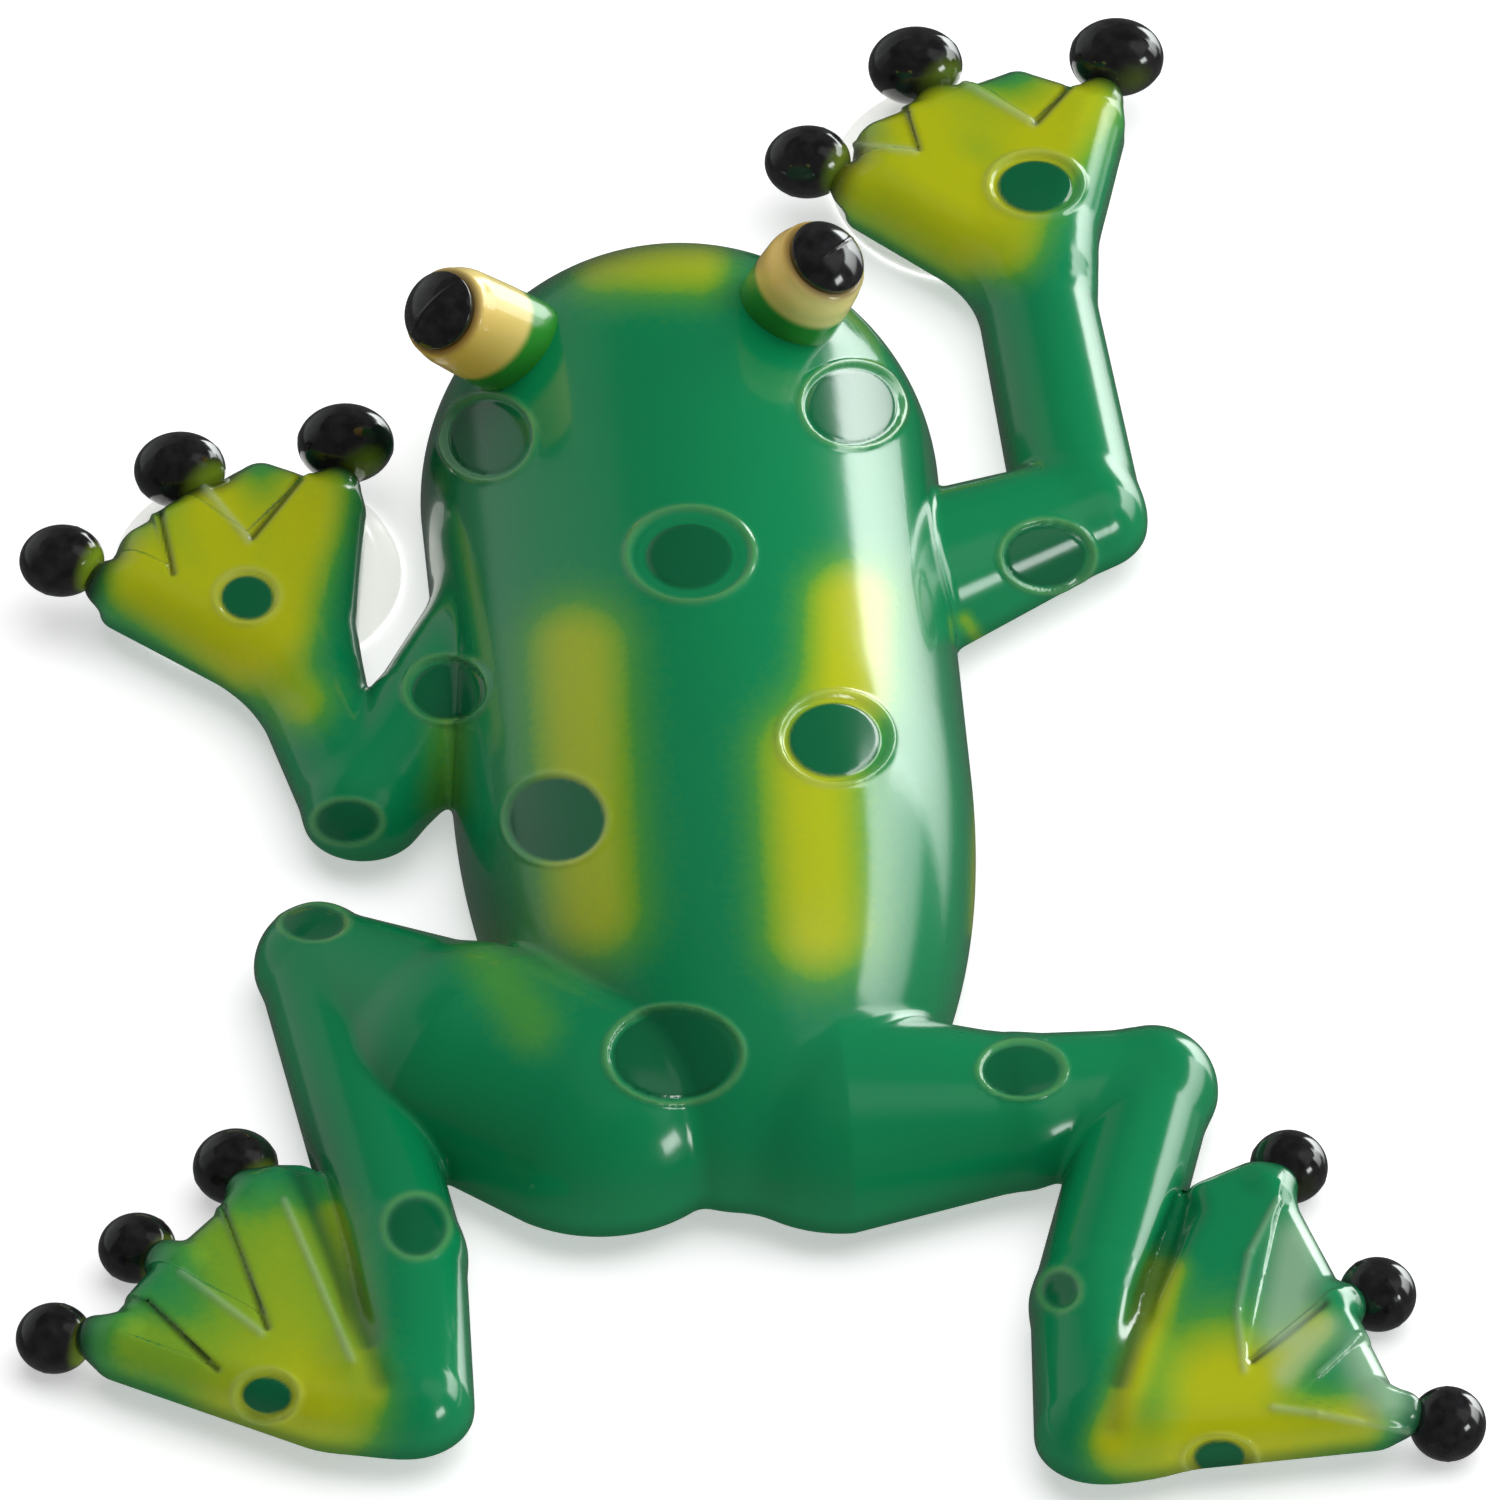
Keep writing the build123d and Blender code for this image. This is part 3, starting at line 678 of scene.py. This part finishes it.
def skin_mesh():
    """Quads on the shell's outer skin, down to its rear edge."""
    low = np.array([cad_low.x / MM - 4, cad_low.y / MM - 4, RIM_Z - 1.6 * GRID])
    high = np.array([cad_high.x / MM + 4, cad_high.y / MM + 4, AXIS_Z + max(TAIL_R, NOSE_R) + 4])
    counts = np.ceil((high - low) / GRID).astype(int)
    axes = [low[k] + GRID * np.arange(counts[k]) for k in range(3)]
    values = np.empty(counts)
    for k in range(0, counts[0], 24):
        block = np.stack(np.meshgrid(axes[0][k : k + 24], axes[1], axes[2], indexing="ij"), -1)
        values[k : k + 24] = shell_field(block.reshape(-1, 3)).reshape(block.shape[:3])
    points, quads = surface_nets(values, low, GRID)
    points = project(points, shell_field)
    mesh = mesh_of("skin_draft", points, quads)
    made = bmesh.new()
    made.from_mesh(mesh)
    everything = made.verts[:] + made.edges[:] + made.faces[:]
    rim_level = (0, 0, RIM_Z * MM)
    bmesh.ops.bisect_plane(made, geom=everything, plane_co=rim_level, plane_no=(0, 0, 1), clear_inner=True)
    bmesh.ops.remove_doubles(made, verts=made.verts[:], dist=0.08 * MM)
    made.to_mesh(mesh)
    made.free()
    draft = bpy.data.objects.new("skin_draft", mesh)
    bpy.context.scene.collection.objects.link(draft)
    finer = draft.modifiers.new("finer", "SUBSURF")
    finer.subdivision_type = "SIMPLE"
    finer.levels = finer.render_levels = 1
    bpy.context.view_layer.update()
    ready = bpy.data.meshes.new_from_object(draft.evaluated_get(bpy.context.evaluated_depsgraph_get()))
    bpy.data.objects.remove(draft)
    return ready


def skin_points(mesh):
    flat = np.empty(len(mesh.vertices) * 3)
    mesh.vertices.foreach_get("co", flat)
    return flat.reshape(-1, 3) / MM


def sight_plane(p):
    """Where points (x, y, z) show on the sight plane."""
    return np.stack([p[:, 0], p[:, 1] * math.sin(SIGHT) + p[:, 2] * math.cos(SIGHT)], 1)


def seen_at(u, v):
    """Where the line of sight through (u, v) meets the skin."""
    z = np.arange(48.0, RIM_Z, -0.1)
    line = np.stack([np.full_like(z, u), (v - z * math.cos(SIGHT)) / math.sin(SIGHT), z], 1)
    return line[np.argmax(shell_field(line) < 0)]


def stroke_distance(q, start, end):
    """Distance on the sight plane from points to a stroke's middle line."""
    a, ab = np.array(start), np.array(end) - np.array(start)
    t = np.clip((q - a) @ ab / (ab @ ab), 0, 1)
    return np.linalg.norm(q - a - t[:, None] * ab, axis=1)


def strokes_on(q, strokes):
    bare = np.ones(len(q))
    for start, end, half, soft, strength in strokes.values():
        off = np.maximum(stroke_distance(q, start, end) - 0.4 * half, 0) / (0.6 * half + 0.6 * soft)
        bare *= 1 - strength * np.exp(-(off**2))
    return 1 - bare


def shell_masks(p, normal, q, facing, discs):
    """Paint: yellow-green strokes and spot discs, black overspray, painted shade on edges and in creases, and
    painted highlights and reflections.
    """
    yellow = strokes_on(q, STROKES) * facing
    # Painted shade: deep green on edges turned away from the line of sight, heavier on left-facing ones; the
    # mask also grows darker towards the rear rim.
    toward = normal @ np.array([0.0, -math.cos(SIGHT), math.sin(SIGHT)])
    edge = step(0.5, 0.08, toward) * (0.45 + 0.55 * step(0.3, -0.7, normal[:, 0]))
    dark = np.maximum(0.75 * edge, 0.55 * step(RIM_Z + 3.5, RIM_Z, p[:, 2]))
    overspray_and_shade = np.zeros(len(p))
    for name in FANS:
        for ball, ball_r in zip(BALLS[name], BALL_RS[name]):
            gap = np.linalg.norm(p - ball, axis=1) - ball_r
            overspray_and_shade = np.maximum(overspray_and_shade, SOOT[name] * step(5.0, 0.0, gap) ** 1.5)
    # Painted shade: a black line along each crease, in the overspray mask
    for start, end in CREASES:
        line = np.exp(-((stroke_distance(q, start, end) / (LINE_WIDTH * 0.9)) ** 2)) * facing
        overspray_and_shade = np.maximum(overspray_and_shade, 0.8 * line)
    # Painted reflection: pale patches in the right foot's webs
    pale = strokes_on(q, WEB_REFLECTIONS) * facing
    # Painted highlight: a pale line along each raised line
    for start, end in RIDGES:
        line = np.exp(-((stroke_distance(q, start, end) / LINE_WIDTH) ** 2)) * facing
        pale = np.maximum(pale, 0.3 * line)
    disc = np.zeros(len(p))
    for off, near_share, ring_r, share in discs:
        disc = np.maximum(disc, step(ring_r * share + 0.35, ring_r * share - 0.35, off) * near_share)
        # Painted highlight: each ring's crest is lightened in yellow and pale
        ring = np.exp(-(((off - ring_r + RING_INSET) / 0.6) ** 2)) * near_share
        yellow = np.maximum(yellow, 0.16 * ring)
        pale = np.maximum(pale, 0.1 * ring)
    return {"yellow": yellow, "disc": disc, "dark": dark, "overspray_and_shade": overspray_and_shade, "pale": pale}


def front_shell():
    """The moulded shell with its embossing, its masks of paint, painted shade and painted highlights, and its
    rear rim.
    """
    mesh = skin_mesh()
    p = skin_points(mesh)
    rim = np.abs(p[:, 2] - RIM_Z) < 1e-3
    p = project(p, shell_field, 2, rim)
    p[rim, 2] = RIM_Z
    _, slope = gradient(p, shell_field)
    normal = slope / np.linalg.norm(slope, axis=1)[:, None]
    q = sight_plane(p)
    facing = step(-0.15, 0.1, normal @ np.array([0.0, -math.cos(SIGHT), math.sin(SIGHT)]))
    discs = []
    lift, groove = np.zeros(len(p)), np.zeros(len(p))
    for u, v, half_u, half_v, share in SPOTS.values():
        centre = seen_at(u, v)
        off = np.hypot(q[:, 0] - u, (q[:, 1] - v) * half_u / half_v)
        near_share = step(half_u * 2.4, half_u * 1.9, np.linalg.norm(p - centre, axis=1)) * facing
        discs.append((off, near_share, half_u, share))
        lift += RING_HEIGHT * np.exp(-(((off - half_u + RING_INSET) / RING_WIDTH) ** 2)) * near_share
        lift -= MOAT_DEPTH * np.exp(-(((off - half_u * share - 0.3) / MOAT_WIDTH) ** 2)) * near_share
        lift -= DISC_SINK * step(half_u - RING_INSET, half_u - 1.6, off) * near_share
    for lines, height in ((CREASES, -CREASE_DEPTH), (RIDGES, RIDGE_HEIGHT)):
        for start, end in lines:
            line = np.exp(-((stroke_distance(q, start, end) / LINE_WIDTH) ** 2)) * facing
            lift += height * line
    for start, end, depth in GROOVES:
        sunk = depth * np.exp(-((stroke_distance(q, start, end) / GROOVE_WIDTH) ** 2)) * facing
        groove = np.maximum(groove, sunk)
    lift -= groove
    lift[rim] = 0
    masks = shell_masks(p, normal, q, facing, discs)
    # Painted shade in the grooves
    masks["dark"] = np.maximum(masks["dark"], GROOVE_SHADE * groove)
    mesh.vertices.foreach_set("co", ((p + normal * lift[:, None]) * MM).ravel())
    for name, values in masks.items():
        add_mask(mesh, name, values)
    mesh.polygons.foreach_set("use_smooth", [True] * len(mesh.polygons))
    mesh.update()
    add_rim(mesh, rim, normal)
    return link("frog_shell", mesh, PAINT, "root", "front_shell")


def add_rim(mesh, rim, normal):
    """Turns the open edge inwards by the wall's thickness and up inside, where the cover sits."""
    made = bmesh.new()
    made.from_mesh(mesh)
    made.verts.ensure_lookup_table()
    count = len(made.verts)
    flat = normal.copy()
    flat[:, 2] = 0
    flat /= np.maximum(np.linalg.norm(flat, axis=1), 1e-6)[:, None]
    edges = [e for e in made.edges if e.is_boundary]
    where = {v.index for e in edges for v in e.verts}
    low = bmesh.ops.extrude_edge_only(made, edges=edges)
    new = [g for g in low["geom"] if isinstance(g, bmesh.types.BMVert)]
    made.verts.index_update()
    old_of = {}
    for v in new:
        for e in v.link_edges:
            other = e.other_vert(v)
            if other.index < count and other.index in where:
                old_of[v] = other.index
    for v in new:
        v.co -= Vector(flat[old_of[v]] * WALL * MM)
    inner_edges = [g for g in low["geom"] if isinstance(g, bmesh.types.BMEdge)]
    up = bmesh.ops.extrude_edge_only(made, edges=inner_edges)
    for g in up["geom"]:
        if isinstance(g, bmesh.types.BMVert):
            g.co.z += RIM_RETURN * MM
    made.to_mesh(mesh)
    made.free()


shell = front_shell()


# ---------------------------------------------------------------- turned pieces


def lathe(profile, turns=96):
    """Points and quads of a profile of (radius, height) turned about +Z."""
    profile = np.array(profile, float)
    turn = np.linspace(0, 2 * math.pi, turns, endpoint=False)
    ring = np.stack([np.cos(turn), np.sin(turn)], 1)
    points = [np.array([[*(ring[k] * r), z] for k in range(turns)]) for r, z in profile]
    quads = []
    for i in range(len(profile) - 1):
        for k in range(turns):
            n = (k + 1) % turns
            quads.append((i * turns + k, i * turns + n, (i + 1) * turns + n, (i + 1) * turns + k))
    return np.concatenate(points), quads


def arc(centre, radius, start, end, count, squash=1.0):
    """Points on an arc in the (radius, height) plane, angles in degrees from the outward direction."""
    return [
        (centre[0] + radius * math.cos(a), centre[1] + radius * squash * math.sin(a))
        for a in np.radians(np.linspace(start, end, count))
    ]


def frame_along(axis, across=(1.0, 0.0, 0.0)):
    """Rotation whose third column is the axis."""
    z = np.array(axis) / np.linalg.norm(axis)
    x = np.array(across) - z * (np.array(across) @ z)
    x /= np.linalg.norm(x)
    return np.stack([x, np.cross(z, x), z], 1)


# Toe balls: share of the CAD ball's size along x, y and z, and how much yellow is blown on to each
BALL_SHAPE = {
    "left_hand": (1.0, 0.84, 0.84),
    "right_hand": (1.0, 0.84, 0.84),
    "left_foot": (1.0, 0.9, 0.92),
    "right_foot": (1.0, 0.96, 0.96),
}
BALL_END = 0.98  # flattening towards the toe
BALL_SPRAY = {"left_hand": 1.0, "right_hand": 0.5, "left_foot": 0.9, "right_foot": 0.1}
SPRAY_SIDE = np.array([0.75, -0.35, 0.1])


def toe_ball(name, index):
    """Glossy ball, a little flattened, with a mould line and paint blown on to its inner side."""
    centre, radius = BALLS[name][index], BALL_RS[name][index]
    root = np.array(FANS[name]["root"][:2])
    away = np.array([*(centre[:2] - root), 0.0])
    turned = frame_along(away, (0.0, 0.0, 1.0))
    end = radius * BALL_END
    profile = [(1e-3, -end)]
    for a in np.linspace(-86, 86, 45):
        seam = 0.06 * math.exp(-((a / 2.2) ** 2))
        angle = math.radians(a)
        profile.append(((radius + seam) * math.cos(angle), end * math.sin(angle)))
    profile.append((1e-3, end))
    points, quads = lathe(profile, 72)
    placed = points @ turned.T * np.array(BALL_SHAPE[name]) + centre
    mesh = mesh_of(f"{name}_toe_{index + 1}", placed, quads)
    inner = -points[:, 2] / radius
    side = (placed - centre) @ SPRAY_SIDE / radius
    spray = step(0.8, 1.25, 0.75 * inner + 0.75 * side) * BALL_SPRAY[name]
    add_mask(mesh, "yellow", spray)
    obj = link(f"{name}_toe_{index + 1}", mesh, BLACK, "root", f"{name}_ball_{index + 1}")
    return obj


for fan_name in FANS:
    for ball_index in range(3):
        toe_ball(fan_name, ball_index)

# Eyes: each barrel turns about its joint's axis
EYE_R = 7.3
EYE_END_R = 7.1
EYE_REACHES = {"left": 11.0, "right": 8.5}
EYE_SINK = 3.0
PUPIL_R = 5.5
PUPIL_AXES = {"left": (-0.55, -0.42, 0.72), "right": (0.45, -0.20, 0.87)}
EYE_BAND = {"left": 4.6, "right": 5.0}  # height of the green band
# Side of the barrel lightened in pale cream as a painted highlight
EYE_LIT_SIDE = {"left": np.array([0.5, 0.75, 0.5]), "right": np.array([0.9, -0.3, -0.1])}
PUPIL_SEAM = {"left": (0.8, 0.5, 0.0), "right": (0.55, 0.6, 0.0)}  # way across the pupil's mould line
joints = {j["name"]: j for j in frame["joints"]}


def eye(side):
    joint = joints[f"{side}_eye_turn"]
    foot = np.array(joint["pos_m"]) / MM
    axis = np.array(joint["axis"])
    turned = frame_along(axis)
    look = np.array(PUPIL_AXES[side])
    look /= np.linalg.norm(look)
    reach = EYE_REACHES[side]
    centre = foot + axis * reach
    profile = [(1e-3, -EYE_SINK), (EYE_R - 0.7, -EYE_SINK)]
    profile += arc((EYE_R - 0.7, -EYE_SINK + 0.7), 0.7, -80, 0, 6)
    for z in np.linspace(-EYE_SINK + 1.2, reach, 28):
        share = (z + EYE_SINK) / (reach + EYE_SINK)
        belly = 0.1 * math.sin(math.pi * share)
        profile.append((EYE_R + (EYE_END_R - EYE_R) * share + belly, z))
    profile += arc((0.0, reach), EYE_END_R, 3, 89.9, 44)
    points, quads = lathe(profile, 144)
    placed = points @ turned.T + foot
    rel = placed - centre
    depth = rel @ look
    off = np.linalg.norm(rel - depth[:, None] * look, axis=1)
    # a raised lip round the pupil, and a shallow seat under it
    front = depth > 0
    lip = np.exp(-(((off - PUPIL_R - 0.55) / 0.4) ** 2)) * front * 0.32
    seat = step(PUPIL_R + 0.15, PUPIL_R - 0.35, off) * front * 0.9
    outward = rel / np.maximum(np.linalg.norm(rel, axis=1), 1e-6)[:, None]
    placed = placed + outward * (lip - seat)[:, None]
    mesh = mesh_of(f"{side}_eye_body", placed, quads)
    height = points[:, 2]
    tilt = 1.4 * np.sin(np.arctan2(points[:, 1], points[:, 0]) + 0.6)
    add_mask(mesh, "band", step(EYE_BAND[side] + 1.1, EYE_BAND[side] - 0.4, height + tilt))
    # Painted highlight on one side of the barrel
    add_mask(mesh, "lit_side", np.clip(0.5 + 0.55 * (placed - foot) @ EYE_LIT_SIDE[side] / EYE_R, 0, 1))
    # Brown overspray round the pupil's edge
    add_mask(mesh, "overspray_and_shade", 0.75 * step(PUPIL_R + 0.9, PUPIL_R + 0.1, off) * front)
    body = link(f"{side}_eye_body", mesh, EYE, f"{side}_eye", f"{side}_eye_barrel")

    dome_r = EYE_END_R + 0.75
    edge = math.degrees(math.acos(PUPIL_R / dome_r))
    rim = dome_r * math.sin(math.radians(edge))
    profile = [(1e-3, rim - 1.6), (PUPIL_R - 0.1, rim - 1.6), (PUPIL_R, rim - 0.35)]
    profile += arc((PUPIL_R - 0.3, rim - 0.2), 0.3, 0, 55, 5)
    profile += arc((0.0, 0.0), dome_r, edge + 3, 89.9, 30)
    points, quads = lathe(profile, 96)
    seam = frame_along(look, PUPIL_SEAM[side])
    line = 0.16 * np.exp(-((points[:, 1] / 0.22) ** 2)) * (points[:, 2] > rim)
    points[:, 2] += line
    pupil = mesh_of(f"{side}_pupil_dome", points @ seam.T + centre, quads)
    add_mask(pupil, "yellow", 0.0 * points[:, 0])
    obj = link(f"{side}_pupil_dome", pupil, BLACK, f"{side}_eye", f"{side}_pupil")


for eye_side in ("left", "right"):
    eye(eye_side)

# Suction cups: clear bells with a thick lip, hung by their mushroom heads
CUP_R = 20.0
CUP_TOP = 4.6
NECK_R = 3.1
HEAD_R = 4.5


def suction_cup(side):
    joint = joints[f"{side}_cup_turn"]
    x, y = (v / MM for v in joint["pos_m"][:2])
    profile = [(1e-3, 2.9)]
    profile += [(r, 2.9 * (1 - (r / (CUP_R - 1.6)) ** 2.2)) for r in np.linspace(0.5, CUP_R - 1.6, 40)]
    profile += [(CUP_R - 1.1, 0.0), (CUP_R - 0.25, 0.0)]
    profile += arc((CUP_R - 0.45, 0.45), 0.45, -50, 80, 7)
    for share in np.linspace(0.04, 1.0, 44):
        r = CUP_R - 0.5 - (CUP_R - 0.5 - 6.8) * share
        z = 0.9 + (CUP_TOP - 0.9) * math.sin(share * math.pi / 2) ** 0.9
        step_ring = 0.14 * math.exp(-(((r - 16.2) / 0.35) ** 2)) + 0.12 * math.exp(-(((r - 9.5) / 0.3) ** 2))
        profile.append((r, min(z + step_ring, CUP_TOP)))
    profile += [(5.2, CUP_TOP), (NECK_R + 0.3, CUP_TOP), (NECK_R, CUP_TOP + 0.3)]
    profile += [(NECK_R, 6.9), (NECK_R + 0.2, 7.2)]
    profile += [(HEAD_R - 0.3, 7.2)] + arc((HEAD_R - 0.4, 7.65), 0.4, -60, 30, 6)
    profile += [(HEAD_R - 0.8, 8.7), (HEAD_R - 1.3, 9.1), (1e-3, 9.2)]
    points, quads = lathe(profile, 144)
    mesh = mesh_of(f"{side}_cup_bell", points + np.array([x, y, 0.0]), quads)
    obj = link(f"{side}_cup_bell", mesh, VINYL, f"{side}_cup", f"{side}_suction_cup")


for cup_side in ("left", "right"):
    suction_cup(cup_side)

# CAD nodes that show as they are
for node_name, node_material in (
    ("rear_cover", COVER),
    ("cover_screws", STEEL),
    ("left_eye_washer", COVER),
    ("right_eye_washer", COVER),
):
    node = frame["nodes"][node_name]
    node.data.materials.clear()
    node.data.materials.append(node_material)

# ---------------------------------------------------------------- stage, light and camera

VIEW_MIDDLE = Vector((0.28 * MM, 7.2 * MM, 0.0))
VIEW_WIDTH = 207.0 * MM
ELEVATION = SIGHT
LENS, SENSOR = 1600.0, 36.0
FLOOR_SIZE, FLOOR_Z = 3.0, -0.0002  # metres: half the floor's width, and its level just under the cups


def plain(name, colour, roughness):
    material, nodes, links, shader = new_material(name)
    tone = noise_node(nodes, links, 3.0)
    darker = tuple(c * 0.99 for c in colour)
    links.new(mix_colour(nodes, links, tone, colour, darker), shader.inputs["Base Color"])
    shader.inputs["Roughness"].default_value = roughness
    shader.inputs["Specular IOR Level"].default_value = 0.1
    shader.inputs["Emission Color"].default_value = (*colour, 1.0)
    shader.inputs["Emission Strength"].default_value = 0.5
    return material


def floor():
    size = FLOOR_SIZE
    mesh = bpy.data.meshes.new("floor")
    corners = [(x, y, FLOOR_Z) for x, y in ((-size, -size), (size, -size), (size, size), (-size, size))]
    mesh.from_pydata(corners, [], [(0, 1, 2, 3)])
    obj = bpy.data.objects.new("floor", mesh)
    bpy.context.scene.collection.objects.link(obj)
    mesh.materials.append(plain("floor_white", (0.94, 0.94, 0.94), 0.9))
    obj.visible_glossy = False
    obj.visible_shadow = False


def panel(name, place, aim, width, height, watts):
    light = bpy.data.lights.new(name, "AREA")
    light.shape = "RECTANGLE"
    light.size, light.size_y = width, height
    light.energy = watts
    obj = bpy.data.objects.new(name, light)
    bpy.context.scene.collection.objects.link(obj)
    obj.location = place
    way = Vector(aim) - Vector(place)
    obj.rotation_mode = "QUATERNION"
    obj.rotation_quaternion = way.to_track_quat("-Z", "Y")
    return obj


def math_node(nodes, links, operation, first, second=None):
    node = nodes.new("ShaderNodeMath")
    node.operation = operation
    for socket, value in zip(node.inputs, (first, second)):
        if isinstance(value, float):
            socket.default_value = value
        elif value is not None:
            links.new(value, socket)
    return node.outputs[0]


# Bright cards in the surroundings: azimuth from +Y towards +X, half-width and softness in degrees, lowest and
# highest as sines of elevation, and the light at each
CARDS = [
    (37.0, 13.0, 3.0, -0.42, 0.17, 0.6, 6.4),  # tall softbox beyond the right side
    (67.0, 15.0, 4.0, -0.12, 0.37, 1.2, 5.2),  # and its nearer half
    (-56.0, 14.0, 36.0, -0.16, 0.62, 0.32, 0.2),  # dim reflector on the left
    (118.0, 7.5, 1.0, 0.14, 0.32, 8.0, 8.0),  # window on the near right
    (95.0, 14.0, 16.0, 0.45, 0.9, 0.3, 0.3),  # pale wall on the right
]


def studio_world():
    """Dim surroundings with the bright cards on them."""
    world = bpy.data.worlds.new("studio")
    world.use_nodes = True
    bpy.context.scene.world = world
    nodes, links = world.node_tree.nodes, world.node_tree.links
    place = nodes.new("ShaderNodeTexCoord")
    split = nodes.new("ShaderNodeSeparateXYZ")
    links.new(place.outputs["Generated"], split.inputs[0])
    x, y, z = split.outputs
    azimuth = math_node(nodes, links, "ARCTAN2", x, y)
    total = remap(nodes, links, z, -1.0, 1.0, 0.09, 0.06)
    for middle, half, soft, low, high, low_light, high_light in CARDS:
        turned = math_node(nodes, links, "SUBTRACT", azimuth, math.radians(middle))
        off = math_node(nodes, links, "ABSOLUTE", turned)
        inside = remap(nodes, links, off, math.radians(half), math.radians(half + soft), 1.0, 0.0)
        above = remap(nodes, links, z, low - 0.04, low + 0.04)
        below = remap(nodes, links, z, high - 0.03, high + 0.03, 1.0, 0.0)
        light = remap(nodes, links, z, low, high, low_light, high_light)
        for factor in (above, below, light):
            inside = math_node(nodes, links, "MULTIPLY", inside, factor)
        total = math_node(nodes, links, "ADD", total, inside)
    links.new(total, nodes["Background"].inputs["Strength"])
    nodes["Background"].inputs["Color"].default_value = (0.95, 1.0, 0.98, 1.0)


floor()
overhead = panel("overhead", (0.35, 0.2, 1.6), (0, 0, 0), 2.4, 2.4, 30.0)
overhead.visible_glossy = False
studio_world()

camera_data = bpy.data.cameras.new("camera")
camera_data.lens, camera_data.sensor_width = LENS, SENSOR
camera = bpy.data.objects.new("camera", camera_data)
bpy.context.scene.collection.objects.link(camera)
distance = VIEW_WIDTH * LENS / SENSOR
toward = Vector((0.0, -math.cos(ELEVATION), math.sin(ELEVATION)))
camera.location = VIEW_MIDDLE + toward * distance
camera.rotation_mode = "QUATERNION"
camera.rotation_quaternion = (-toward).to_track_quat("-Z", "Y")
camera_data.clip_start, camera_data.clip_end = 0.05, 40.0
bpy.context.scene.camera = camera
bpy.context.scene.view_settings.view_transform = "Standard"
